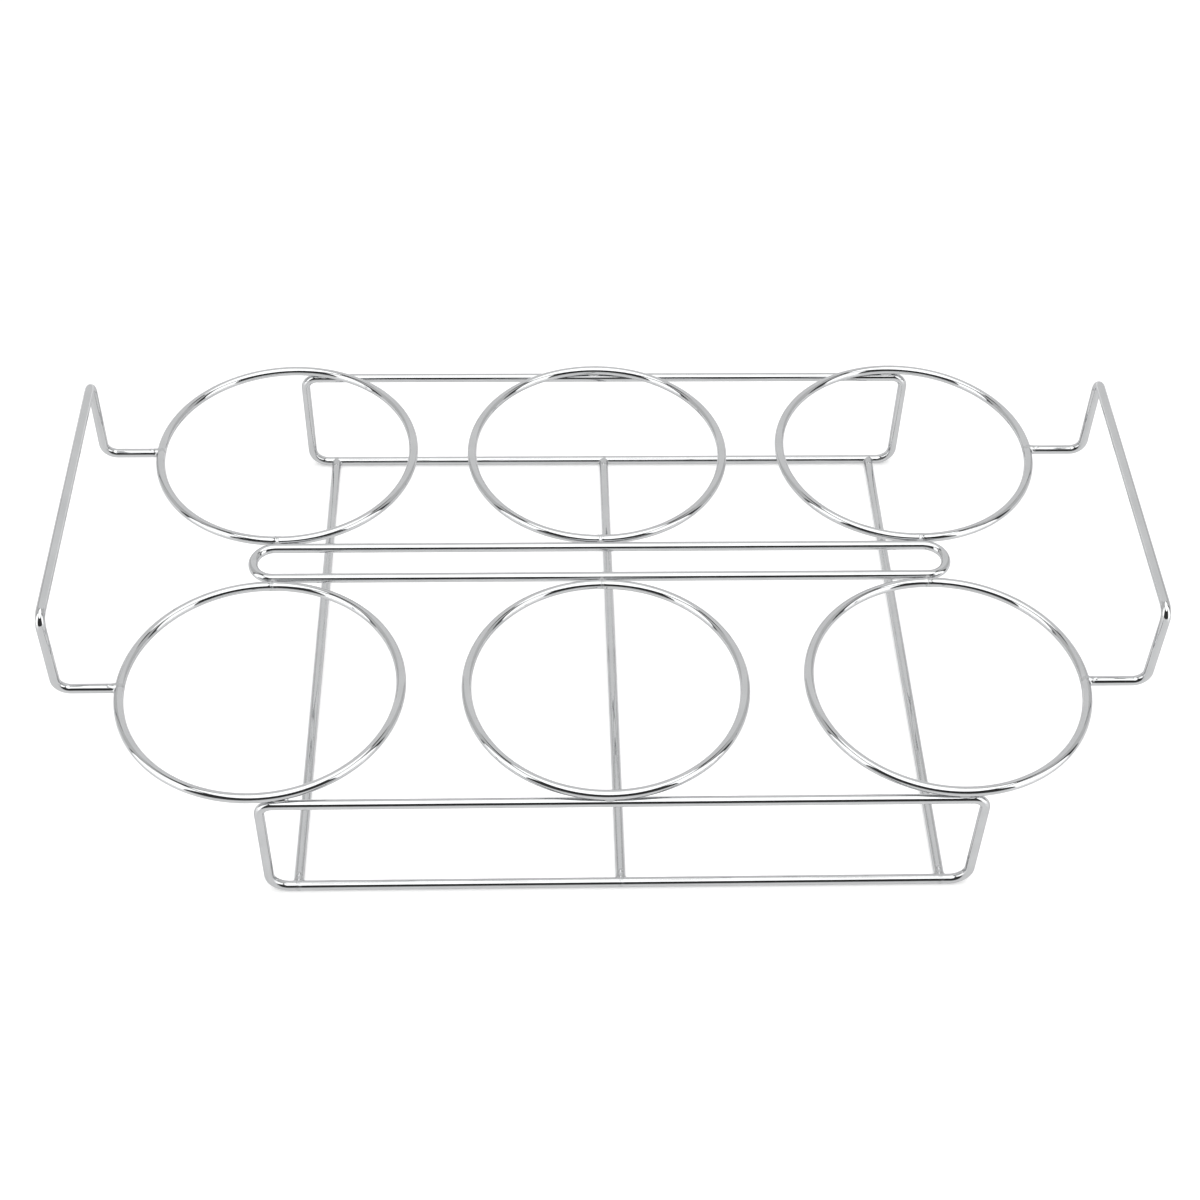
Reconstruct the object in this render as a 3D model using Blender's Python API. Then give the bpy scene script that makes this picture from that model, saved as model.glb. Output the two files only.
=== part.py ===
"""Wire rack that carries six round cups in two rows of three.

Everything is one gauge of round wire. Six rings lie in one plane, three on each
side of a long narrow loop. The outer edge of each row rests on the top rail of an
upright rounded rectangle, the foot frame. Three rods tie the two foot frames
together at the bottom, and a bent wire handle stands at each end of the tray.

Metres, +Z up, +X along the rows, floor at Z = 0, origin under the middle of the tray.
"""

import math

import bpy
from mathutils import Vector

# ---------------------------------------------------------------- driving sizes
# Lengths between wires are measured between the wires' centre lines.

WIRE = 0.0032               # diameter of the round wire
WELD_GAP = 0.0003           # room left between two wires where a weld joins them

RING_DIAMETER = 0.090       # one cup ring
RING_SPACING = 0.021        # from one ring's edge to the next ring's edge in its row

LOOP_WIDTH = 0.0143         # the long loop between the rows, side to side
LOOP_RUN_ON = 0.00025       # straight wire past the last rings' centres, before its end bends

FRAME_RUN_ON = 0.002        # from the last rings' centres out to the foot frame's uprights
FRAME_HEIGHT = 0.0423       # foot frame, bottom rail to top rail
FRAME_TOP_BEND = 0.0045     # bend radius at its two upper corners
FRAME_FOOT_BEND = 0.006     # bend radius at its two lower corners
FOOT_SHIFT = 0.0045         # the feet are welded on this far to the right of the tray

ROD_INSET = 0.009           # from a foot frame's upright in to the outer base rod

HANDLE_REACH = 0.020        # from the last rings' outer edges out to the upright grip
HANDLE_HEIGHT = 0.0325      # from the rings up to the grip bar
HANDLE_FOOT_BEND = 0.0045   # bend radius where the handle turns up
HANDLE_GRIP_BEND = 0.004    # bend radius where it turns into the grip bar

# ---------------------------------------------------------------- fineness
WIRE_BEVEL_RESOLUTION = 3   # Blender gives a bevelled curve 4 + 2 * 3 = 10 sides
WIRE_SIDES = 4 + 2 * WIRE_BEVEL_RESOLUTION
RING_SEGMENTS = 48
BEND_STEPS = 6              # straight pieces in a bend of a quarter turn

# ---------------------------------------------------------------- sizes that follow
# The ten-sided wire has the area of the round one, so its volume and mass are true.
SIDE_ANGLE = 2 * math.pi / WIRE_SIDES
WIRE_RADIUS = WIRE / 2 * math.sqrt(SIDE_ANGLE / math.sin(SIDE_ANGLE))
FLAT_RADIUS = WIRE_RADIUS * math.cos(SIDE_ANGLE / 2)
WIRE_TO_WIRE = 2 * WIRE_RADIUS + WELD_GAP

RING_RADIUS = RING_DIAMETER / 2
RING_PITCH = RING_DIAMETER + RING_SPACING
RING_EDGE_X = RING_PITCH + RING_RADIUS
ROW_Y = LOOP_WIDTH / 2 + WIRE_TO_WIRE + RING_RADIUS
FRAME_Y = ROW_Y + RING_RADIUS
FLOOR_RAIL_Z = FLAT_RADIUS
TOP_RAIL_Z = FLOOR_RAIL_Z + FRAME_HEIGHT
RING_Z = TOP_RAIL_Z + 2 * FLAT_RADIUS + WELD_GAP
LOOP_END_X = RING_PITCH + LOOP_RUN_ON + LOOP_WIDTH / 2
UPRIGHT_X = RING_PITCH + FRAME_RUN_ON
ROD_PITCH = UPRIGHT_X - ROD_INSET

COLUMNS = {"left": -1, "middle": 0, "right": 1}
ROWS = {"front": -1, "back": 1}

CHROME_COLOUR = (0.80, 0.80, 0.81, 1.0)
CHROME_ROUGHNESS = 0.12
CHROME_METALLIC = 1.0


# ---------------------------------------------------------------- helpers
def clear_scene():
    """Remove the objects that a new file comes with."""
    for thing in list(bpy.data.objects):
        bpy.data.objects.remove(thing, do_unlink=True)


def chrome(piece_name):
    """Bright chromium plating on drawn steel wire, one material for each piece."""
    material = bpy.data.materials.new(piece_name + "_chrome")
    material.use_nodes = True
    shader = material.node_tree.nodes["Principled BSDF"]
    shader.inputs["Base Color"].default_value = CHROME_COLOUR
    shader.inputs["Roughness"].default_value = CHROME_ROUGHNESS
    shader.inputs["Metallic"].default_value = CHROME_METALLIC
    material.diffuse_color = CHROME_COLOUR
    return material


def rounded_path(corners, radii, closed):
    """Points of a bent wire: straight runs, with an arc of the given radius at each corner.

    An open path keeps its two ends as they are, so radii has one value for each
    corner between them. A closed path has one for every corner.
    """
    count = len(corners)
    bends = range(count) if closed else range(1, count - 1)
    path = [] if closed else [corners[0]]
    for index, radius in zip(bends, radii):
        corner = corners[index]
        to_last = (corners[index - 1] - corner).normalized()
        to_next = (corners[(index + 1) % count] - corner).normalized()
        half_angle = to_last.angle(to_next) / 2
        run_in = radius / math.tan(half_angle)
        inward = (to_last + to_next).normalized()
        centre = corner + inward * (radius / math.sin(half_angle))
        start = corner + to_last * run_in - centre
        end = corner + to_next * run_in - centre
        turn = start.angle(end)
        steps = max(2, round(BEND_STEPS * turn / (math.pi / 2)))
        for step in range(steps + 1):
            share = step / steps
            swept = start * math.sin((1 - share) * turn) + end * math.sin(share * turn)
            point = centre + swept / math.sin(turn)
            if not path or (point - path[-1]).length > WELD_GAP:
                path.append(point)
    if closed:
        if (path[0] - path[-1]).length < WELD_GAP:
            path.pop()
    else:
        path.append(corners[-1])
    return path


def place(piece, collection, home, location=(0.0, 0.0, 0.0)):
    """Give a finished piece its material, its place, and the rack's origin as parent."""
    piece.data.materials.append(chrome(piece.name))
    collection.objects.link(piece)
    piece.parent = home
    piece.location = location
    return piece


def wire(name, path, closed, collection, home, location=(0.0, 0.0, 0.0)):
    """One bent wire: a poly curve through the points with a round bevel and closed ends."""
    curve = bpy.data.curves.new(name, "CURVE")
    curve.dimensions = "3D"
    curve.twist_mode = "MINIMUM"
    curve.bevel_depth = WIRE_RADIUS
    curve.bevel_resolution = WIRE_BEVEL_RESOLUTION
    curve.use_fill_caps = not closed
    spline = curve.splines.new("POLY")
    spline.points.add(len(path) - 1)
    for spot, point in zip(spline.points, path):
        spot.co = (*point, 1.0)
    spline.use_cyclic_u = closed
    spline.use_smooth = True
    return place(bpy.data.objects.new(name, curve), collection, home, location)


# ---------------------------------------------------------------- pieces
def cup_ring(name, column, row, collection, home):
    """One closed ring of wire, bent round and butt-welded, that a cup hangs in."""
    bpy.ops.mesh.primitive_torus_add(
        major_segments=RING_SEGMENTS,
        minor_segments=WIRE_SIDES,
        major_radius=RING_RADIUS,
        minor_radius=WIRE_RADIUS,
    )
    ring = bpy.context.object
    ring.name = name
    ring.data.name = name
    ring.data.shade_smooth()
    for owner in list(ring.users_collection):
        owner.objects.unlink(ring)
    spot = (COLUMNS[column] * RING_PITCH, ROWS[row] * ROW_Y, RING_Z)
    return place(ring, collection, home, spot)


def centre_loop(collection, home):
    """The long narrow loop that joins all six rings at their inner edges."""
    half_width = LOOP_WIDTH / 2
    corners = [
        Vector((-LOOP_END_X, -half_width, 0.0)),
        Vector((LOOP_END_X, -half_width, 0.0)),
        Vector((LOOP_END_X, half_width, 0.0)),
        Vector((-LOOP_END_X, half_width, 0.0)),
    ]
    path = rounded_path(corners, [half_width] * len(corners), closed=True)
    return wire("centre_loop", path, True, collection, home, (0.0, 0.0, RING_Z))


def foot_frame(row, collection, home):
    """An upright rounded rectangle: the row's rings rest on it, and it stands on the floor."""
    corners = [
        Vector((-UPRIGHT_X, 0.0, FLOOR_RAIL_Z)),
        Vector((UPRIGHT_X, 0.0, FLOOR_RAIL_Z)),
        Vector((UPRIGHT_X, 0.0, TOP_RAIL_Z)),
        Vector((-UPRIGHT_X, 0.0, TOP_RAIL_Z)),
    ]
    radii = [FRAME_FOOT_BEND, FRAME_FOOT_BEND, FRAME_TOP_BEND, FRAME_TOP_BEND]
    path = rounded_path(corners, radii, closed=True)
    spot = (FOOT_SHIFT, ROWS[row] * FRAME_Y, 0.0)
    return wire("foot_frame_" + row, path, True, collection, home, spot)


def base_rod(column, collection, home):
    """A straight rod between the two bottom rails, cut to butt against both."""
    half_length = FRAME_Y - WIRE_RADIUS - WELD_GAP
    path = [Vector((0.0, -half_length, 0.0)), Vector((0.0, half_length, 0.0))]
    spot = (FOOT_SHIFT + COLUMNS[column] * ROD_PITCH, 0.0, FLOOR_RAIL_Z)
    return wire("base_rod_" + column, path, False, collection, home, spot)


def handle(column, collection, home):
    """One wire from ring to ring: out, up, along the grip bar, down and back in."""
    out = COLUMNS[column]
    ring_x = out * (RING_EDGE_X + WIRE_RADIUS + WELD_GAP)
    grip_x = out * (RING_EDGE_X + HANDLE_REACH)
    corners = [
        Vector((ring_x, -ROW_Y, 0.0)),
        Vector((grip_x, -ROW_Y, 0.0)),
        Vector((grip_x, -ROW_Y, HANDLE_HEIGHT)),
        Vector((grip_x, ROW_Y, HANDLE_HEIGHT)),
        Vector((grip_x, ROW_Y, 0.0)),
        Vector((ring_x, ROW_Y, 0.0)),
    ]
    radii = [HANDLE_FOOT_BEND, HANDLE_GRIP_BEND, HANDLE_GRIP_BEND, HANDLE_FOOT_BEND]
    path = rounded_path(corners, radii, closed=False)
    return wire("handle_" + column, path, False, collection, home, (0.0, 0.0, RING_Z))


# ---------------------------------------------------------------- assembly
def build_rack():
    """Make every piece of the rack in its own collection, under one empty."""
    clear_scene()
    collection = bpy.data.collections.new("wire_ring_rack")
    bpy.context.scene.collection.children.link(collection)
    home = bpy.data.objects.new("rack_origin", None)
    collection.objects.link(home)

    for row in ROWS:
        for column in COLUMNS:
            cup_ring("ring_" + row + "_" + column, column, row, collection, home)
        foot_frame(row, collection, home)
    centre_loop(collection, home)
    for column in COLUMNS:
        base_rod(column, collection, home)
    for column in ("left", "right"):
        handle(column, collection, home)


build_rack()
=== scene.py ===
# %% [markdown]
# # A chrome wire rack for six round cups
#
# The rack is bent from one gauge of steel wire, spot-welded, then plated with bright
# chromium. Six rings lie side by side in two rows, a long narrow loop joins the rows,
# two upright frames carry them, three rods tie the frames together on the floor, and a
# bent handle stands at each end. Nothing on it moves.
#
# A lesson about this rack is a lesson about mirrors. Chrome has almost no look of its
# own, so the work goes into three things: wires that are truly round, joints that look
# welded, and a studio that is worth reflecting.

import math

import bmesh
import bpy
from mathutils import Matrix, Vector, noise


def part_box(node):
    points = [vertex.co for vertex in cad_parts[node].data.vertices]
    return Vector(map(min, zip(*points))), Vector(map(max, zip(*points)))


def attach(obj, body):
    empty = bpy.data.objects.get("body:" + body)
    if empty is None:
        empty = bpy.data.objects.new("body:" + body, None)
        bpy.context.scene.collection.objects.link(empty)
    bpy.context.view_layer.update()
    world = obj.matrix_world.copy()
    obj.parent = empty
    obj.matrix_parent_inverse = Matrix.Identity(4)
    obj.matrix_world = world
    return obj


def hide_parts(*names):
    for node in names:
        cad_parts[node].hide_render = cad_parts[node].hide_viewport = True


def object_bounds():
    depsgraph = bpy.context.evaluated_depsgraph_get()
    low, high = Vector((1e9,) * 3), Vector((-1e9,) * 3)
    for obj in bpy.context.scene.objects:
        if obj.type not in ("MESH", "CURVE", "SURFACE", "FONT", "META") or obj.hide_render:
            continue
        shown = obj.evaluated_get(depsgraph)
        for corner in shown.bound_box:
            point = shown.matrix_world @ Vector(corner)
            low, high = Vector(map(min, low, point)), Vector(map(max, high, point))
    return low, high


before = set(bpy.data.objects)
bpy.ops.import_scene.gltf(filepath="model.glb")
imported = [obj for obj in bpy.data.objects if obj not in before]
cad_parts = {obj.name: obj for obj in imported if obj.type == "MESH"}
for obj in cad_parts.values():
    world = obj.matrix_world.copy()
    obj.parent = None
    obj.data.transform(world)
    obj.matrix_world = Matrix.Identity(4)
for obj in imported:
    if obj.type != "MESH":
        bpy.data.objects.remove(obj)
CAD_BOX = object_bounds()
MM = 0.001
print("nodes:", ", ".join(sorted(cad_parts)))

# %% [markdown]
# ## Where the wires run
#
# The CAD solids are ten-sided wires, good enough for weight and collision but not for a
# mirror finish, where every flat side would flash. Each one is replaced by a round wire
# on the same centre line. The centre lines come from the boxes of the CAD solids: take
# the box of a wire, step in by half a wire, and the box of its centre line is left.

# %% Centre lines from the boxes of the CAD solids
WIRE_RADIUS = 1.6 * MM      # the real wire is 3.2 mm thick


def box_size(node, axis):
    """Length of a node's box along one axis, 0 for X, 1 for Y, 2 for Z."""
    low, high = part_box(node)
    return high[axis] - low[axis]


CAD_RADIUS = box_size("base_rod_middle", 0) / 2


def centre_box(node):
    """Lowest and highest corner of the box round a wire's centre line."""
    low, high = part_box(node)
    step = Vector((CAD_RADIUS, CAD_RADIUS, CAD_RADIUS))
    return Vector(low) + step, Vector(high) - step


def middle(node):
    """Middle of a node's box."""
    low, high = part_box(node)
    return (Vector(low) + Vector(high)) / 2


RING_NAMES = ["ring_" + row + "_" + column
              for row in ("front", "back") for column in ("left", "middle", "right")]
RING_RADIUS = box_size("ring_front_middle", 0) / 2 - CAD_RADIUS
print("ring, wire middle to wire middle: %.1f mm" % (2 * RING_RADIUS / MM))
print("half thickness of the CAD wire: %.3f mm" % (CAD_RADIUS / MM))

# %% [markdown]
# ## Colours and nodes
#
# Colours are written the way a paint chart gives them, as sRGB hex values. The renderer
# works in linear light, so one function converts. Another small function adds any node
# with its settings and links, which keeps each material short enough to read.

# %% Helpers for colours and nodes


def colour(hex_value):
    """Linear colour with alpha from an sRGB hex value such as C3C4C5."""
    channels = []
    for start in (0, 2, 4):
        value = int(hex_value[start:start + 2], 16) / 255
        if value <= 0.04045:
            channels.append(value / 12.92)
        else:
            channels.append(((value + 0.055) / 1.055) ** 2.4)
    return (*channels, 1.0)


def node(tree, kind, settings=None, inputs=None):
    """Add one node, set its properties, and give each input a value or a link."""
    made = tree.nodes.new(kind)
    for name, value in (settings or {}).items():
        setattr(made, name, value)
    for name, value in (inputs or {}).items():
        if isinstance(value, bpy.types.NodeSocket):
            tree.links.new(value, made.inputs[name])
        else:
            made.inputs[name].default_value = value
    return made


def new_material(name):
    """A material with an empty Principled shader, and that shader."""
    material = bpy.data.materials.new(name)
    material.use_nodes = True
    return material, material.node_tree.nodes["Principled BSDF"]


print("a chrome grey, C3C4C5, in linear light:", [round(c, 3) for c in colour("C3C4C5")])

# %% [markdown]
# ## Bright chromium on drawn steel wire
#
# The wire was pulled through a die, which leaves hair-fine lines along its length. Then it
# was polished, nickel plated and flashed with chromium. Chromium sends back a little over
# half of the light that meets it, evenly across the colours, so a white wall looks mid
# grey in it and a black one nearly black. That is the grey of this rack.
#
# Most metals shine brightest at the rim of a round shape. Chromium dims there first, which
# gives every wire a slightly darker outline against a white floor. For a metal, the
# shader's Specular Tint says how bright it is close to the rim.
#
# The plating is close to a mirror but not quite. The drawing lines under it widen a
# reflection a little, and they run along the wire even where it bends. A texture that
# follows the wire needs coordinates that follow it too, so each wire carries an attribute
# called "lay", which tells every corner where it would be if the wire were pulled straight.

# %% The plated wire finish
CHROME_PALE = "CACBCC"      # where the polish left the most chromium
CHROME_DEEP = "BCBDBE"      # where it took a little more away
RIM_DIMMING = (0.72, 0.72, 0.73, 1.0)
DRAWN_LINE = 0.35 * MM      # real lines are near 0.05 mm, drawn coarser so that they show
DRAWN_LENGTH = 18 * MM      # how far one line runs before it fades
HAZE_SIZE = 9 * MM          # patches where the polish took a little more or less


def plate(tree, shader, shade, polish, relief):
    """Make a shader chromium, with its colour, roughness and relief from three nodes."""
    tree.links.new(shade.outputs["Result"], shader.inputs["Base Color"])
    tree.links.new(polish.outputs["Result"], shader.inputs["Roughness"])
    tree.links.new(relief.outputs["Normal"], shader.inputs["Normal"])
    shader.inputs["Metallic"].default_value = 1.0
    shader.inputs["Specular Tint"].default_value = RIM_DIMMING


def plated_wire(name):
    """Bright chromium on drawn steel wire: crisp mirror, faint lines along the length."""
    material, shader = new_material(name)
    tree = material.node_tree
    lay = node(tree, "ShaderNodeAttribute", {"attribute_name": "lay"}).outputs["Vector"]
    along = node(tree, "ShaderNodeVectorMath", {"operation": "MULTIPLY"}, {
        0: lay,
        1: (1 / DRAWN_LENGTH, 1 / DRAWN_LINE, 1 / DRAWN_LINE),
    })
    lines = node(tree, "ShaderNodeTexNoise", {"noise_dimensions": "3D"}, {
        "Vector": along.outputs[0],
        "Scale": 1.0,
        "Detail": 3.0,
        "Roughness": 0.55,
    })
    haze = node(tree, "ShaderNodeTexNoise", {"noise_dimensions": "3D"}, {
        "Vector": lay,
        "Scale": 1 / HAZE_SIZE,
        "Detail": 2.0,
    })
    shade = node(tree, "ShaderNodeMix", {"data_type": "RGBA"}, {
        "Factor": haze.outputs["Fac"],
        "A": colour(CHROME_DEEP),
        "B": colour(CHROME_PALE),
    })
    polish = node(tree, "ShaderNodeMapRange", {}, {
        "Value": lines.outputs["Fac"],
        "From Min": 0.3,
        "From Max": 0.7,
        "To Min": 0.04,
        "To Max": 0.10,
    })
    relief = node(tree, "ShaderNodeBump", {}, {
        "Height": lines.outputs["Fac"],
        "Strength": 0.05,
        "Distance": 0.05 * MM,
    })
    plate(tree, shader, shade, polish, relief)
    return material


PLATING = {slot: plated_wire("bright_chrome_on_" + slot)
           for slot in ("ring_wire", "loop_wire", "foot_wire", "rod_wire", "handle_wire")}
print("plated finishes:", ", ".join(material.name for material in PLATING.values()))

# %% [markdown]
# ## Bright chromium over a weld
#
# A resistance weld squeezes two hot wires together. What it leaves is a small puddle with
# a grainy skin, and the plating copies that skin. It is the same metal and colour as the
# wire, but rougher and finely bumpy, so it breaks a clean reflection into specks.

# %% The plated weld finish
WELD_SHADOW = "ACADAE"      # painted shade: the pits between the grains are coloured darker
SPATTER_GRAIN = 0.45 * MM   # real grain is near 0.2 mm, drawn coarser so that it shows


def plated_weld(name):
    """Bright chromium over a grainy weld: the mirror is broken up into specks."""
    material, shader = new_material(name)
    tree = material.node_tree
    place = node(tree, "ShaderNodeTexCoord").outputs["Object"]
    grain = node(tree, "ShaderNodeTexNoise", {"noise_dimensions": "3D"}, {
        "Vector": place,
        "Scale": 1 / SPATTER_GRAIN,
        "Detail": 3.0,
        "Roughness": 0.6,
    })
    # Where the grain is low, in its pits, the colour turns to WELD_SHADOW: painted shade.
    shade = node(tree, "ShaderNodeMix", {"data_type": "RGBA"}, {
        "Factor": grain.outputs["Fac"],
        "A": colour(WELD_SHADOW),
        "B": colour(CHROME_PALE),
    })
    polish = node(tree, "ShaderNodeMapRange", {}, {
        "Value": grain.outputs["Fac"],
        "From Min": 0.35,
        "From Max": 0.65,
        "To Min": 0.12,
        "To Max": 0.26,
    })
    relief = node(tree, "ShaderNodeBump", {}, {
        "Height": grain.outputs["Fac"],
        "Strength": 0.25,
        "Distance": 0.12 * MM,
    })
    plate(tree, shader, shade, polish, relief)
    return material


WELD_PLATING = plated_weld("bright_chrome_over_weld")
print("weld finish:", WELD_PLATING.name)

# %% [markdown]
# ## One way to make every wire
#
# A wire could be a curve object with a bevel. It is a mesh here, because a mesh can carry
# the "lay" attribute and can change thickness where a joint was squeezed. The recipe is
# the same for all of them: walk along the centre line, and at each stop place a circle of
# points square to the path. The circle's direction is handed on from stop to stop with
# the smallest possible turn, so the surface never twists.

# %% Directions and distances along a path


def wire_stops(path, closed):
    """Direction and distance along the wire at each point of a path."""
    count = len(path)
    directions = []
    distances = [0.0]
    for index in range(count):
        before = path[index - 1] if closed or index > 0 else path[index]
        after = path[(index + 1) % count] if closed or index < count - 1 else path[index]
        directions.append((after - before).normalized())
        if index > 0:
            distances.append(distances[-1] + (path[index] - path[index - 1]).length)
    return directions, distances


corner_path = [Vector((0.0, 0.0, 0.0)), Vector((3 * MM, 0.0, 0.0)), Vector((3 * MM, 4 * MM, 0.0))]
print("3 mm ahead, then 4 mm to the side, distances in mm:",
      [round(distance / MM, 1) for distance in wire_stops(corner_path, False)[1]])

# %% Sweep a round wire along a path
SIDES = 32                  # points round the wire, enough for a smooth edge in a close-up


def round_wire(name, path, closed, thickness=None):
    """Mesh of a round wire. thickness gives the radius at a distance along the wire."""
    directions, distances = wire_stops(path, closed)
    total = distances[-1]
    if closed:
        total += (path[0] - path[-1]).length
    builder = bmesh.new()
    lay = builder.loops.layers.float_vector.new("lay")
    sideways = directions[0].orthogonal().normalized()
    circles = []
    for index, point in enumerate(path):
        if index > 0:
            turn = directions[index - 1].rotation_difference(directions[index])
            sideways = (turn @ sideways).normalized()
        upward = directions[index].cross(sideways)
        radius = thickness(distances[index], total) if thickness else WIRE_RADIUS
        circle = []
        for side in range(SIDES):
            angle = 2 * math.pi * side / SIDES
            offset = sideways * math.cos(angle) + upward * math.sin(angle)
            circle.append(builder.verts.new(point + offset * radius))
        circles.append(circle)
    spans = len(path) if closed else len(path) - 1
    for index in range(spans):
        here = circles[index]
        there = circles[(index + 1) % len(path)]
        start = distances[index]
        end = distances[index + 1] if index + 1 < len(path) else total
        for side in range(SIDES):
            following = (side + 1) % SIDES
            corners = (here[side], here[following], there[following], there[side])
            face = builder.faces.new(corners)
            face.smooth = True
            stops = ((start, side), (start, side + 1), (end, side + 1), (end, side))
            for corner, (distance, step) in zip(face.loops, stops):
                angle = 2 * math.pi * step / SIDES
                corner[lay] = (distance, WIRE_RADIUS * math.cos(angle),
                               WIRE_RADIUS * math.sin(angle))
    if not closed:
        close_end(builder, lay, circles[0], 0.0, True)
        close_end(builder, lay, circles[-1], total, False)
    bmesh.ops.recalc_face_normals(builder, faces=builder.faces)
    mesh = bpy.data.meshes.new(name)
    builder.to_mesh(mesh)
    builder.free()
    return mesh


def close_end(builder, lay, circle, distance, first):
    """Close the cut end of a wire with one flat face."""
    face = builder.faces.new(circle if first else list(reversed(circle)))
    for corner in face.loops:
        corner[lay] = (distance, 0.0, 0.0)


print("each wire is swept with %d points round it" % SIDES)

# %% [markdown]
# A bent wire has straight runs and round bends, never a sharp corner. This helper takes
# the sharp corners and a bend radius for each, and returns points close enough together
# that the bends look smooth.

# %% Straight runs and round bends
RUN_STEP = 6 * MM           # distance between stops on a straight run
BEND_STEP = math.radians(6)
SAME_SPOT = 0.01 * MM       # stops closer than this count as one
END_SHARE = 0.02            # a cut end gets an extra stop here, to keep its shading crisp


def bent_path(corners, radii, closed):
    """Centre line through the corners, with a bend of the given radius at each."""
    count = len(corners)
    turning = range(count) if closed else range(1, count - 1)
    path = [] if closed else [corners[0]]
    for index, radius in zip(turning, radii):
        corner = corners[index]
        back = (corners[index - 1] - corner).normalized()
        ahead = (corners[(index + 1) % count] - corner).normalized()
        half_angle = back.angle(ahead) / 2
        run_in = radius / math.tan(half_angle)
        centre = corner + (back + ahead).normalized() * (radius / math.sin(half_angle))
        start = corner + back * run_in - centre
        end = corner + ahead * run_in - centre
        turn = start.angle(end)
        steps = math.ceil(turn / BEND_STEP)
        for step in range(steps + 1):
            share = step / steps
            swept = start * math.sin((1 - share) * turn) + end * math.sin(share * turn)
            path.append(centre + swept / math.sin(turn))
    if not closed:
        path.append(corners[-1])
    return fill_runs(path, closed)


def fill_runs(path, closed):
    """Add stops along the straight runs and drop stops that lie on each other."""
    filled = []
    spans = len(path) if closed else len(path) - 1
    for index in range(spans):
        start = path[index]
        end = path[(index + 1) % len(path)]
        length = (end - start).length
        if length < SAME_SPOT:
            continue
        pieces = max(1, math.ceil(length / RUN_STEP))
        for piece in range(pieces):
            filled.append(start.lerp(end, piece / pieces))
    if not closed:
        filled.append(path[-1])
        filled.insert(1, filled[0].lerp(filled[1], END_SHARE))
        filled.insert(-1, filled[-1].lerp(filled[-2], END_SHARE))
    return filled


def finish_piece(name, mesh, material):
    """Put a mesh in the scene with its material, riding on the rack's root."""
    piece = bpy.data.objects.new(name, mesh)
    bpy.context.scene.collection.objects.link(piece)
    if not mesh.materials:
        mesh.materials.append(material)
    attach(piece, "root")
    return piece


print("bends are drawn every %.0f degrees" % math.degrees(BEND_STEP))

# %% [markdown]
# ## The six cup rings
#
# Each ring is a length of wire rolled round a mandrel and butt-welded to itself, on the
# side that faces the long loop. Squeezing the hot ends together pushes up a low collar,
# and polishing leaves a fine groove in its middle. A plain torus would miss that, so the
# ring is swept like any other wire, with more stops near the joint and a thickness that
# rises and dips there.

# %% Roll and join the rings
COLLAR_RISE = 0.20 * MM
COLLAR_REACH = 0.9 * MM
GROOVE_DEPTH = 0.36 * MM
GROOVE_REACH = 0.32 * MM
JOINT_STEP = 0.1 * MM       # distance between stops near the joint
JOINT_STOPS = 24            # how many of them lie on each side of it
RING_STOPS = 236            # spans round the rest of the ring


def joint_thickness(distance, total):
    """Wire radius near a butt weld: a low collar with a fine groove."""
    away = min(distance, total - distance)
    collar = COLLAR_RISE * math.exp(-(away / COLLAR_REACH) ** 2)
    groove = GROOVE_DEPTH * math.exp(-(away / GROOVE_REACH) ** 2)
    return WIRE_RADIUS + collar - groove


def ring_path(centre, radius, joint_angle):
    """Stops round a ring from its joint, crowded together near the joint."""
    after_joint = [JOINT_STEP * step / radius for step in range(JOINT_STOPS + 1)]
    before_joint = [JOINT_STEP * step / radius for step in range(-JOINT_STOPS, 0)]
    edge = after_joint[-1]
    rest_turn = 2 * math.pi - 2 * edge
    rest = [edge + rest_turn * step / RING_STOPS for step in range(1, RING_STOPS)]
    path = []
    for angle in after_joint + rest + before_joint:
        spot = joint_angle + angle
        path.append(centre + Vector((math.cos(spot), math.sin(spot), 0.0)) * radius)
    return path


for name in RING_NAMES:
    towards_loop = math.pi / 2 if "front" in name else -math.pi / 2
    path = ring_path(middle(name), RING_RADIUS, towards_loop)
    mesh = round_wire(name, path, True, joint_thickness)
    ring = finish_piece("cup_" + name, mesh, PLATING["ring_wire"])
    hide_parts(name)
print("rings:", len(RING_NAMES), "with", len(path), "stops each")

# %% [markdown]
# ## The long loop
#
# The loop lies between the two rows, at the same height as the rings. Its two long sides
# touch all six rings, and its ends are half circles, so it can be drawn as a rectangle
# whose bends are as large as half its width.

# %% Bend the long loop
low, high = centre_box("centre_loop")
level = middle("centre_loop").z
corners = [
    Vector((low.x, low.y, level)),
    Vector((high.x, low.y, level)),
    Vector((high.x, high.y, level)),
    Vector((low.x, high.y, level)),
]
half_width = (high.y - low.y) / 2
loop_path = bent_path(corners, [half_width] * 4, True)
loop = finish_piece("long_loop", round_wire("long_loop", loop_path, True),
                    PLATING["loop_wire"])
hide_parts("centre_loop")
print("long loop: %.1f x %.1f mm" % ((high.x - low.x) / MM, (high.y - low.y) / MM))

# %% [markdown]
# ## The two foot frames and the three base rods
#
# Each foot frame is an upright rounded rectangle. The lower corners are bent a little
# wider than the upper ones. The rods lie on the floor between the frames and are cut to
# butt against them. Both rest on the floor, so their centre lines are one wire radius up.

# %% Bend the foot frames
TOP_BEND = 4.5 * MM
FOOT_BEND = 6.0 * MM
FLOOR_LEVEL = WIRE_RADIUS

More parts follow.
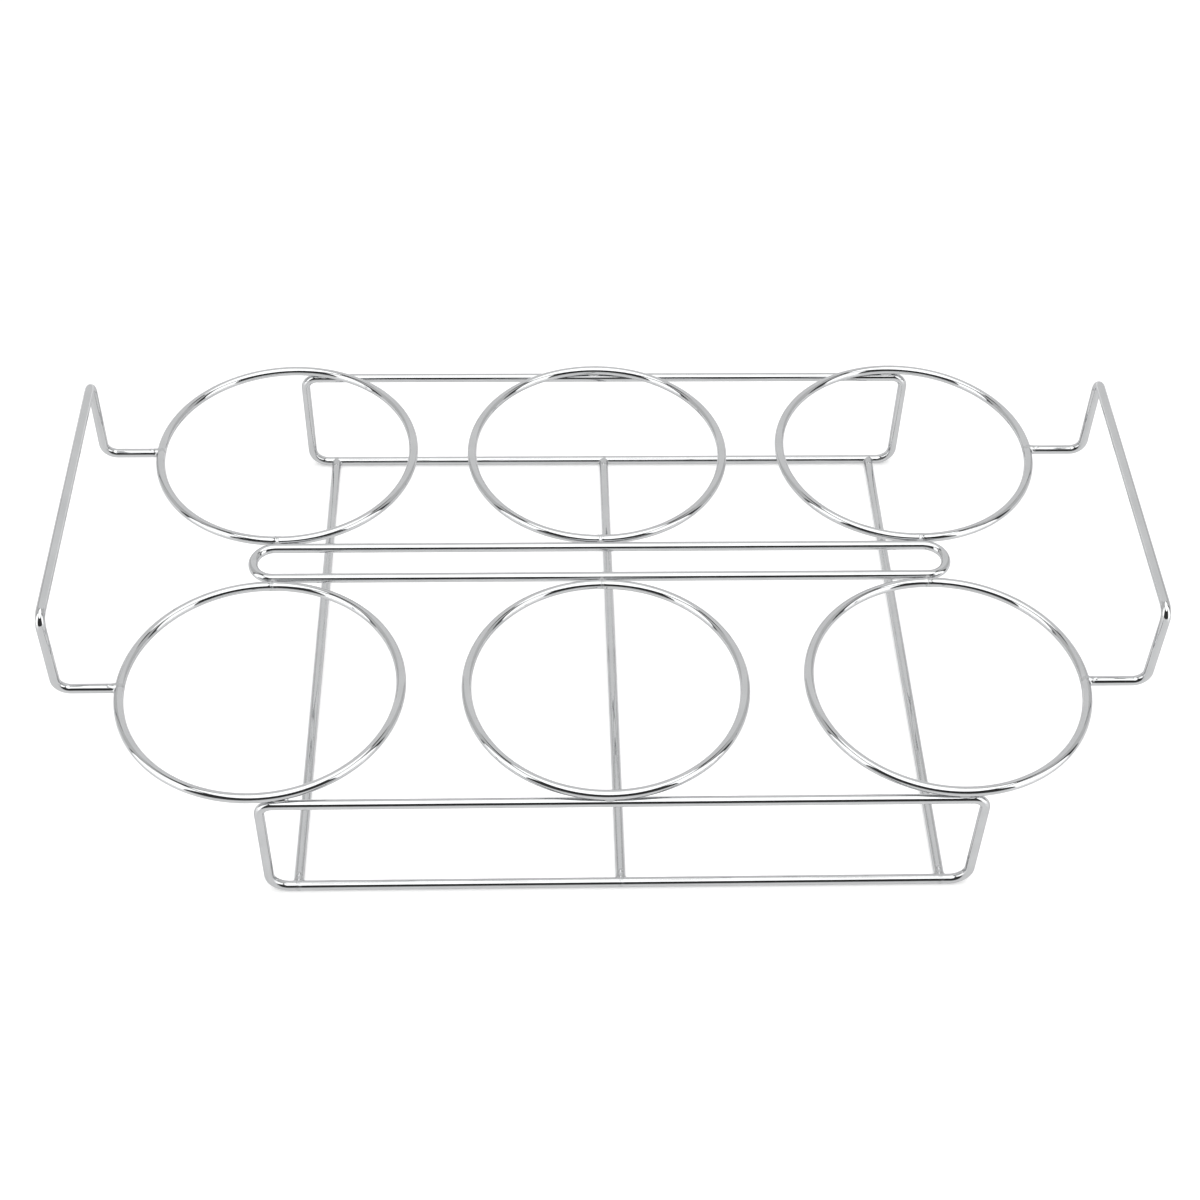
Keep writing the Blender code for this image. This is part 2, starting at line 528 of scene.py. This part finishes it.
FRAME_PATHS = {}
for row in ("front", "back"):
    low, high = centre_box("foot_frame_" + row)
    line_y = middle("foot_frame_" + row).y
    corners = [
        Vector((low.x, line_y, FLOOR_LEVEL)),
        Vector((high.x, line_y, FLOOR_LEVEL)),
        Vector((high.x, line_y, high.z)),
        Vector((low.x, line_y, high.z)),
    ]
    radii = [FOOT_BEND, FOOT_BEND, TOP_BEND, TOP_BEND]
    FRAME_PATHS[row] = bent_path(corners, radii, True)
    name = "standing_frame_" + row
    standing = finish_piece(name, round_wire(name, FRAME_PATHS[row], True),
                            PLATING["foot_wire"])
    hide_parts("foot_frame_" + row)
print("foot frames: %.1f mm wide, %.1f mm high" % ((high.x - low.x) / MM, high.z / MM))

# %% Cut the base rods
for column in ("left", "middle", "right"):
    low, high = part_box("base_rod_" + column)
    line_x = middle("base_rod_" + column).x
    corners = [Vector((line_x, low[1], FLOOR_LEVEL)), Vector((line_x, high[1], FLOOR_LEVEL))]
    name = "tie_rod_" + column
    rod = finish_piece(name, round_wire(name, fill_runs(corners, False), False),
                       PLATING["rod_wire"])
    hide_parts("base_rod_" + column)
print("base rods: %.1f mm long" % ((high[1] - low[1]) / MM))

# %% [markdown]
# ## The handles
#
# A handle is one wire from ring to ring. It leaves the outermost point of a front ring,
# turns up, runs along as the grip, comes down, and meets the back ring.

# %% Bend the handles
HANDLE_FOOT_BEND = 4.5 * MM
GRIP_BEND = 4.0 * MM

for column, out in (("left", -1), ("right", 1)):
    name = "handle_" + column
    low, high = centre_box(name)
    cad_low, cad_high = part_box(name)
    grip_x = low.x if out < 0 else high.x
    ring_x = cad_high[0] if out < 0 else cad_low[0]
    foot_z = middle("ring_front_" + column).z
    corners = [
        Vector((ring_x, low.y, foot_z)),
        Vector((grip_x, low.y, foot_z)),
        Vector((grip_x, low.y, high.z)),
        Vector((grip_x, high.y, high.z)),
        Vector((grip_x, high.y, foot_z)),
        Vector((ring_x, high.y, foot_z)),
    ]
    radii = [HANDLE_FOOT_BEND, GRIP_BEND, GRIP_BEND, HANDLE_FOOT_BEND]
    grip = finish_piece("carry_" + name,
                        round_wire("carry_" + name, bent_path(corners, radii, False), False),
                        PLATING["handle_wire"])
    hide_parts(name)
print("handles stand %.1f mm above the rings" % ((high.z - foot_z) / MM))

# %% [markdown]
# ## The welds
#
# There are four kinds of joint: a ring lying on a top rail, a ring beside the long loop, a
# handle's end against a ring, and a rod's end against a rail. In each, metal has flowed
# into the corner between two wires. A ball stuck on the joint would look like a bead of
# solder. Here a nugget is built from the puddle between the wires and, where the wires
# themselves were marked, short tapered lengths of them. All of it is melted into one skin
# with a voxel remesh and smoothed. The tapers end just inside the real wires, so the nugget
# grows out of them with no edge.

# %% The simple shapes in a nugget
SPINDLE_STOPS = 17
SPINDLE_SIDES = 24


def add_spindle(builder, start, end, end_radius, mid_radius):
    """A length of wire that swells to mid_radius half way and tapers to its ends."""
    spans = SPINDLE_STOPS - 1
    path = [start.lerp(end, step / spans) for step in range(SPINDLE_STOPS)]
    direction = (end - start).normalized()
    sideways = direction.orthogonal().normalized()
    upward = direction.cross(sideways)
    circles = []
    for step, point in enumerate(path):
        swell = 0.5 - 0.5 * math.cos(2 * math.pi * step / spans)
        radius = end_radius + (mid_radius - end_radius) * swell
        circle = []
        for side in range(SPINDLE_SIDES):
            angle = 2 * math.pi * side / SPINDLE_SIDES
            offset = sideways * math.cos(angle) + upward * math.sin(angle)
            circle.append(builder.verts.new(point + offset * radius))
        circles.append(circle)
    for here, there in zip(circles, circles[1:]):
        for side in range(SPINDLE_SIDES):
            following = (side + 1) % SPINDLE_SIDES
            builder.faces.new((here[side], here[following], there[following], there[side]))
    builder.faces.new(list(reversed(circles[0])))
    builder.faces.new(circles[-1])


def add_puddle(builder, centre, half_sizes):
    """A rounded blob of melted metal."""
    shape = Matrix.Translation(centre) @ Matrix.Diagonal((*half_sizes, 1.0))
    bmesh.ops.create_icosphere(builder, subdivisions=4, radius=1.0, matrix=shape)


print("a tapered length is swept with %d points round it" % SPINDLE_SIDES)

# %% Melt the shapes into one skin
WELD_VOXEL = 0.16 * MM
SKIN_FLOW = 0.6             # how strongly one pass of smoothing pulls the skin flat
SKIN_PASSES = 10
SKIN_RIPPLE = 0.05 * MM     # height of the lumps that the weld leaves
RIPPLE_SIZE = 1.1 * MM
RIPPLE_SHIFT = (7.3, 3.1, 5.7)  # moves the lumps from one nugget to the next


def melt(name, builder, seed):
    """Join the shapes into one smooth, slightly lumpy skin and return its mesh."""
    bmesh.ops.recalc_face_normals(builder, faces=builder.faces)
    rough = bpy.data.meshes.new(name + "_rough")
    builder.to_mesh(rough)
    builder.free()
    carrier = bpy.data.objects.new(name + "_rough", rough)
    bpy.context.scene.collection.objects.link(carrier)
    remesh = carrier.modifiers.new("skin", "REMESH")
    remesh.mode = "VOXEL"
    remesh.voxel_size = WELD_VOXEL
    smooth = carrier.modifiers.new("flow", "SMOOTH")
    smooth.factor = SKIN_FLOW
    smooth.iterations = SKIN_PASSES
    ready = carrier.evaluated_get(bpy.context.evaluated_depsgraph_get())
    mesh = bpy.data.meshes.new_from_object(ready)
    mesh.name = name
    bpy.data.objects.remove(carrier, do_unlink=True)
    bpy.data.meshes.remove(rough)
    shift = Vector([seed * amount for amount in RIPPLE_SHIFT])
    for vertex in mesh.vertices:
        lump = noise.noise(vertex.co / RIPPLE_SIZE + shift)
        vertex.co += vertex.normal * (lump * SKIN_RIPPLE)
    for face in mesh.polygons:
        face.use_smooth = True
    return mesh


print("nuggets are melted from %.2f mm voxels" % (WELD_VOXEL / MM))

# %% [markdown]
# Two meshes of each kind, made with different lumps, are enough: turned and shared, no two
# neighbours look alike. Each is modelled with the joint at the origin.

# %% The kinds of nugget
PROUD = 0.05 * MM           # how far a nugget stands out of the wires it joins
SUNK = 0.12 * MM            # how far its tapered ends are hidden inside them
WELD_GAP = 0.3 * MM         # room between two wires, which the weld fills
JOINT_MIDDLE = Vector((0.0, 0.0, 0.0))

# Half sizes of the puddles, and how far the marks run along the wires from the joint.
RAIL_PUDDLE = (2.6 * MM, 1.05 * MM, 1.15 * MM)
LOOP_REACH = 2.2 * MM
LOOP_PUDDLE = (LOOP_REACH * 0.62, 1.1 * MM, 1.2 * MM)
BUTT_REACH = 2.9 * MM
STUB_REACH = 2.4 * MM
STUB_BURIED = 0.4 * MM      # how far the wire that ends here is drawn into the other one
BUTT_PUDDLE = (2.2 * MM, 1.2 * MM, 1.4 * MM)
BUTT_PUDDLE_SHARE = 0.62    # its place between the middle of one wire and the other's end
BUTT_BEAD = (1.0 * MM, 1.1 * MM, 1.05 * MM)
BEAD_BACK = 1.6 * MM        # how far back from its end the wire carries the bead
BEAD_UP = 0.8 * MM


def stacked_nugget(name, seed):
    """The puddle squeezed out between a rail and a ring that crosses over it."""
    builder = bmesh.new()
    add_puddle(builder, JOINT_MIDDLE, RAIL_PUDDLE)
    return melt(name, builder, seed)


def lapped_nugget(name, gap_between, seed):
    """Two wires side by side along X. The one at -Z is marked, the one at +Z, a ring, isn't."""
    builder = bmesh.new()
    reach = Vector((LOOP_REACH, 0.0, 0.0))
    for side, middle_radius in ((-1, WIRE_RADIUS + PROUD), (1, WIRE_RADIUS - SUNK)):
        offset = Vector((0.0, 0.0, side * gap_between / 2))
        add_spindle(builder, offset - reach, offset + reach,
                    WIRE_RADIUS - SUNK, middle_radius)
    add_puddle(builder, JOINT_MIDDLE, LOOP_PUDDLE)
    return melt(name, builder, seed)


def butted_nugget(name, gap_between, seed):
    """A wire that comes from -Y and ends against a wire along X, with a bead on its top."""
    builder = bmesh.new()
    reach = Vector((BUTT_REACH, 0.0, 0.0))
    add_spindle(builder, -reach, reach, WIRE_RADIUS - SUNK, WIRE_RADIUS + PROUD)
    stub_end = Vector((0.0, STUB_BURIED, 0.0))
    stub_start = Vector((0.0, -gap_between - STUB_REACH, 0.0))
    add_spindle(builder, stub_start, stub_end, WIRE_RADIUS - SUNK, WIRE_RADIUS + PROUD)
    add_puddle(builder, Vector((0.0, -gap_between * BUTT_PUDDLE_SHARE, 0.0)), BUTT_PUDDLE)
    add_puddle(builder, Vector((0.0, -gap_between - BEAD_BACK, BEAD_UP)), BUTT_BEAD)
    return melt(name, builder, seed)


SIDE_GAP = abs(middle("ring_front_middle").y) - RING_RADIUS - centre_box("centre_loop")[1].y
BUTT_GAP = WIRE_RADIUS + WELD_GAP
NUGGETS = {
    "ring_on_rail": [stacked_nugget("nugget_ring_on_rail", seed) for seed in (1, 2)],
    "ring_by_loop": [lapped_nugget("nugget_ring_by_loop", SIDE_GAP, seed) for seed in (3, 4)],
    "butted": [butted_nugget("nugget_butted", BUTT_GAP, seed) for seed in (5, 6)],
}
for kind, meshes in NUGGETS.items():
    print(kind, [len(mesh.polygons) for mesh in meshes], "faces")

# %% [markdown]
# ## Putting the welds on the joints
#
# Every weld's place follows from the wires it joins. A ring lies on its rail where the
# two lines cross or touch, as near the ring's outermost point as the straight part of the
# rail allows.

# %% How one weld is placed
welds = []


def put_weld(name, kind, spot, turn):
    """Place a nugget of one kind at a joint, turned to suit the wires."""
    meshes = NUGGETS[kind]
    mesh = meshes[len(welds) % len(meshes)]
    weld = finish_piece(name, mesh, WELD_PLATING)
    weld.matrix_world = Matrix.Translation(spot) @ turn.to_4x4()
    welds.append(weld)


def about(axis, degrees):
    """A turn about one axis."""
    return Matrix.Rotation(math.radians(degrees), 3, axis)


print("kinds of weld:", ", ".join(NUGGETS))

# %% Weld the rings to the loop and the rails
RAIL_MARGIN = 2.5 * MM      # straight rail between a weld and the rail's bend

for name in RING_NAMES:
    row = name.split("_")[1]
    outward = -1 if row == "front" else 1
    centre = middle(name)
    loop_side = centre.y - outward * (RING_RADIUS + SIDE_GAP / 2)
    put_weld("weld_loop_" + name, "ring_by_loop", Vector((centre.x, loop_side, centre.z)),
             about("X", 90 * outward))
    low, high = centre_box("foot_frame_" + row)
    reach = TOP_BEND + RAIL_MARGIN
    spot_x = min(max(centre.x, low.x + reach), high.x - reach)
    inset = RING_RADIUS - math.sqrt(RING_RADIUS ** 2 - (spot_x - centre.x) ** 2)
    slope = math.degrees(math.asin((spot_x - centre.x) / RING_RADIUS)) * -outward
    spot = Vector((spot_x, middle("foot_frame_" + row).y - outward * inset / 2,
                   (centre.z + high.z) / 2))
    put_weld("weld_rail_" + name, "ring_on_rail", spot, about("Z", slope / 2))
print("welds on the rings:", len(welds))

# %% Weld the handles and the rods
for column, out in (("left", -1), ("right", 1)):
    for row in ("front", "back"):
        centre = middle("ring_" + row + "_" + column)
        spot = centre + Vector((out * RING_RADIUS, 0.0, 0.0))
        put_weld("weld_handle_%s_%s" % (row, column), "butted", spot, about("Z", out * 90))

for column in ("left", "middle", "right"):
    rod = middle("base_rod_" + column)
    for row, outward in (("front", -1), ("back", 1)):
        rail = middle("foot_frame_" + row)
        spot = Vector((rod.x, rail.y, FLOOR_LEVEL))
        put_weld("weld_rod_%s_%s" % (row, column), "butted", spot,
                 about("Z", 180 if outward < 0 else 0))
print("welds in all:", len(welds))

# %% [markdown]
# ## The floor
#
# The rack stands on a sheet of glossy white board. Being glossy matters: seen at a low
# angle by the lowest half of a wire, it mirrors the lamps and the dark room above it, and
# that is where the wires get their soft lower edges.
#
# To a camera near the floor, the same gloss would show the lamps as hard bright shapes. So
# the board is drawn as two sheets in one place. The wires mirror a glossy sheet. The camera
# sees a matte one, which takes the soft shadows and turns to pure white further out, as a
# long sweep of paper does.

# %% Lay the white board
BOARD_HALF = 2.5            # metres from the middle to an edge
BOARD_WHITE = "F6F6F6"


def flat_sheet(name, half_side):
    """A level square on the floor, about the origin."""
    mesh = bpy.data.meshes.new(name)
    spots = [(-half_side, -half_side, 0.0), (half_side, -half_side, 0.0),
             (half_side, half_side, 0.0), (-half_side, half_side, 0.0)]
    mesh.from_pydata(spots, [], [(0, 1, 2, 3)])
    sheet = bpy.data.objects.new(name, mesh)
    bpy.context.scene.collection.objects.link(sheet)
    return sheet


def show_only_to(thing, rays):
    """Let only some kinds of light ray meet a thing."""
    for ray in ("camera", "diffuse", "glossy", "transmission", "volume_scatter", "shadow"):
        setattr(thing, "visible_" + ray, ray in rays)


# Coated white card: a hard clear skin over white clay, so it is white and it also mirrors.
# A little glow stands for the light that the white room adds to it.
gloss_material, gloss_shader = new_material("glossy_white_board")
gloss_shader.inputs["Base Color"].default_value = colour(BOARD_WHITE)
gloss_shader.inputs["Roughness"].default_value = 0.10
gloss_shader.inputs["Emission Color"].default_value = colour("FFFFFF")
gloss_shader.inputs["Emission Strength"].default_value = 0.25
gloss_shader.inputs["IOR"].default_value = 1.5
gloss = flat_sheet("board_for_the_wires", BOARD_HALF)
gloss.data.materials.append(gloss_material)
show_only_to(gloss, ("glossy",))

# %% Lay the paper that the camera sees
SWEEP_START = 0.26          # distance from the middle where the paper starts to turn white
SWEEP_END = 0.75

# Uncoated paper: fibres scatter the light every way, so it has no shine at all.
paper_material, paper_shader = new_material("matte_white_paper")
paper_tree = paper_material.node_tree
paper_shader.inputs["Base Color"].default_value = colour(BOARD_WHITE)
paper_shader.inputs["Roughness"].default_value = 1.0
paper_shader.inputs["Specular IOR Level"].default_value = 0.0
paper_shader.inputs["Emission Color"].default_value = colour("FFFFFF")
paper_shader.inputs["Emission Strength"].default_value = 0.18
paper_place = node(paper_tree, "ShaderNodeTexCoord").outputs["Object"]
from_middle = node(paper_tree, "ShaderNodeVectorMath", {"operation": "LENGTH"},
                   {0: paper_place})
sweep = node(paper_tree, "ShaderNodeMapRange", {"interpolation_type": "SMOOTHSTEP"}, {
    "Value": from_middle.outputs["Value"],
    "From Min": SWEEP_START,
    "From Max": SWEEP_END,
})
pure_white = node(paper_tree, "ShaderNodeEmission", {},
                  {"Color": colour("FFFFFF"), "Strength": 1.0})
blend = node(paper_tree, "ShaderNodeMixShader", {}, {
    0: sweep.outputs["Result"],
    1: paper_shader.outputs["BSDF"],
    2: pure_white.outputs["Emission"],
})
paper_output = paper_tree.nodes["Material Output"]
paper_tree.links.new(blend.outputs["Shader"], paper_output.inputs["Surface"])
floor = flat_sheet("white_board", BOARD_HALF)
floor.data.materials.append(paper_material)
show_only_to(floor, ("camera", "diffuse"))
print("white board: %.1f m square, pure white from %.2f m out" % (2 * BOARD_HALF, SWEEP_END))

# %% [markdown]
# ## The studio that the chrome mirrors
#
# Each light is described by where it is and how bright it looks, because in a mirror a
# lamp is first of all a shape. There is one large oval soft box overhead and a tall one on
# each side, in front of the rack. White cards stand behind and beside it. The front of
# the room, where the camera stands, is dark, and it draws the thin black line along every
# wire that runs left to right.

# %% Hang the lights
OVERHEAD = 2.15             # brightness of the soft box overhead, where 1 is paper white
SIDE_BOX = 2.0              # brightness of the soft boxes at the sides
CARD = 0.92                 # brightness of the white card behind
DIM_CARD = 0.69             # the cards at the sides get less light


def panel(name, centre, facing, width, height, brightness, outline="RECTANGLE"):
    """A glowing panel that looks equally bright from every side."""
    fill = math.pi / 4 if outline == "ELLIPSE" else 1.0
    lamp = bpy.data.lights.new(name, "AREA")
    lamp.shape = outline
    lamp.size = width
    lamp.size_y = height
    lamp.energy = brightness * math.pi * width * height * fill
    holder = bpy.data.objects.new(name, lamp)
    bpy.context.scene.collection.objects.link(holder)
    holder.location = centre
    holder.rotation_euler = Vector(facing).to_track_quat("-Z", "Y").to_euler()
    holder.visible_camera = False
    return holder


PANELS = [
    panel("soft_box_overhead", (0.04, -0.42, 2.25), (0, 0, -1), 2.32, 3.00, OVERHEAD, "ELLIPSE"),
    panel("soft_box_left", (-0.65, -0.305, 0.51), (1, 0, 0), 0.47, 1.00, SIDE_BOX),
    panel("soft_box_right", (0.70, -0.43, 0.55), (-1, 0, 0), 0.58, 1.08, SIDE_BOX),
    panel("card_behind", (0.0, 1.00, 1.02), (0, -1, 0), 2.2, 2.04, CARD),
    panel("card_left", (-1.10, 0.50, 1.02), (1, 0, 0), 1.0, 2.04, DIM_CARD),
    panel("card_right", (1.10, 0.50, 1.02), (-1, 0, 0), 1.0, 2.04, DIM_CARD),
]
for light in PANELS[1:]:    # only the overhead box casts shadows, or they would cross
    light.data.use_shadow = False
print("lights:", ", ".join(light.name for light in PANELS))

# %% [markdown]
# The dark of the room is the world itself. The camera shouldn't see it, so a plain white
# dome stands round everything, seen by the camera alone. It gives off no light and shows
# in no reflection.

# %% Darken the room
DARK_ROOM = 0.055           # brightness, where 1 is paper white

world = bpy.data.worlds.new("dark_room")
world.use_nodes = True
background = world.node_tree.nodes["Background"]
background.inputs["Color"].default_value = colour("FFFFFF")
background.inputs["Strength"].default_value = DARK_ROOM
bpy.context.scene.world = world
print("dark room at %.3f" % DARK_ROOM)

# %% Hide the dark room from the camera
DOME_RADIUS = 3.5
DOME_SEGMENTS = 64

# Evenly lit white paper: no shade and no edge, so the eye finds nothing behind the rack.
dome_material = bpy.data.materials.new("plain_white_paper")
dome_material.use_nodes = True
dome_tree = dome_material.node_tree
dome_tree.nodes.clear()
glow = node(dome_tree, "ShaderNodeEmission", {}, {"Color": colour("FFFFFF"), "Strength": 1.0})
node(dome_tree, "ShaderNodeOutputMaterial", {}, {"Surface": glow.outputs["Emission"]})
dome_mesh = bpy.data.meshes.new("white_dome")
dome_builder = bmesh.new()
bmesh.ops.create_uvsphere(dome_builder, u_segments=DOME_SEGMENTS,
                          v_segments=DOME_SEGMENTS // 2, radius=DOME_RADIUS)
dome_builder.to_mesh(dome_mesh)
dome_builder.free()
dome_mesh.materials.append(dome_material)
dome = bpy.data.objects.new("white_dome", dome_mesh)
bpy.context.scene.collection.objects.link(dome)
show_only_to(dome, ("camera",))
print("white dome %.1f m away" % DOME_RADIUS)

# %% [markdown]
# ## The camera
#
# The camera stands in front of the rack, about 46 degrees up, and looks at a point just in
# front of the long loop. It's turned by under three degrees and leans by less than two,
# as a hand-held camera would. The view settings keep white as white, with no film curve.

# %% Stand the camera
TURNED = math.radians(-2.72)
RAISED = math.radians(46.52)
LEAN = math.radians(1.62)
DISTANCE = 686.0 * MM
FOCAL_LENGTH = 61.24        # mm
SENSOR_WIDTH = 36.0         # mm
AIM_LEFT = 0.9 * MM         # where the camera looks, from the middle of the rack
AIM_FORWARD = 17.6 * MM
AIM_ABOVE_RAIL = 3.0 * MM

rack_low, rack_high = CAD_BOX
target = Vector(((rack_low[0] + rack_high[0]) / 2 - AIM_LEFT,
                 (rack_low[1] + rack_high[1]) / 2 - AIM_FORWARD,
                 centre_box("foot_frame_front")[1].z + AIM_ABOVE_RAIL))
backward = Vector((math.sin(TURNED) * math.cos(RAISED),
                   -math.cos(TURNED) * math.cos(RAISED),
                   math.sin(RAISED)))
level_right = (-backward).cross(Vector((0.0, 0.0, 1.0))).normalized()
level_up = level_right.cross(-backward)
lens_right = level_right * math.cos(LEAN) + level_up * math.sin(LEAN)
lens_up = level_up * math.cos(LEAN) - level_right * math.sin(LEAN)

camera_data = bpy.data.cameras.new("camera")
camera_data.sensor_width = SENSOR_WIDTH
camera_data.lens = FOCAL_LENGTH
camera_data.clip_start = 10 * MM
camera = bpy.data.objects.new("camera", camera_data)
bpy.context.scene.collection.objects.link(camera)
axes = Matrix((lens_right, lens_up, backward)).transposed()
camera.matrix_world = Matrix.Translation(target + backward * DISTANCE) @ axes.to_4x4()
bpy.context.scene.camera = camera
bpy.context.scene.view_settings.view_transform = "Standard"
bpy.context.scene.view_settings.look = "None"
print("camera %.0f mm from the tray, lens %.1f mm" % (DISTANCE / MM, FOCAL_LENGTH))

# %% [markdown]
# ## The size of the CAD model
#
# The last cell prints the box of the CAD model.

# %% Print the box of the CAD model
print("CAD box:", [[round(value / MM, 2) for value in corner] for corner in CAD_BOX])
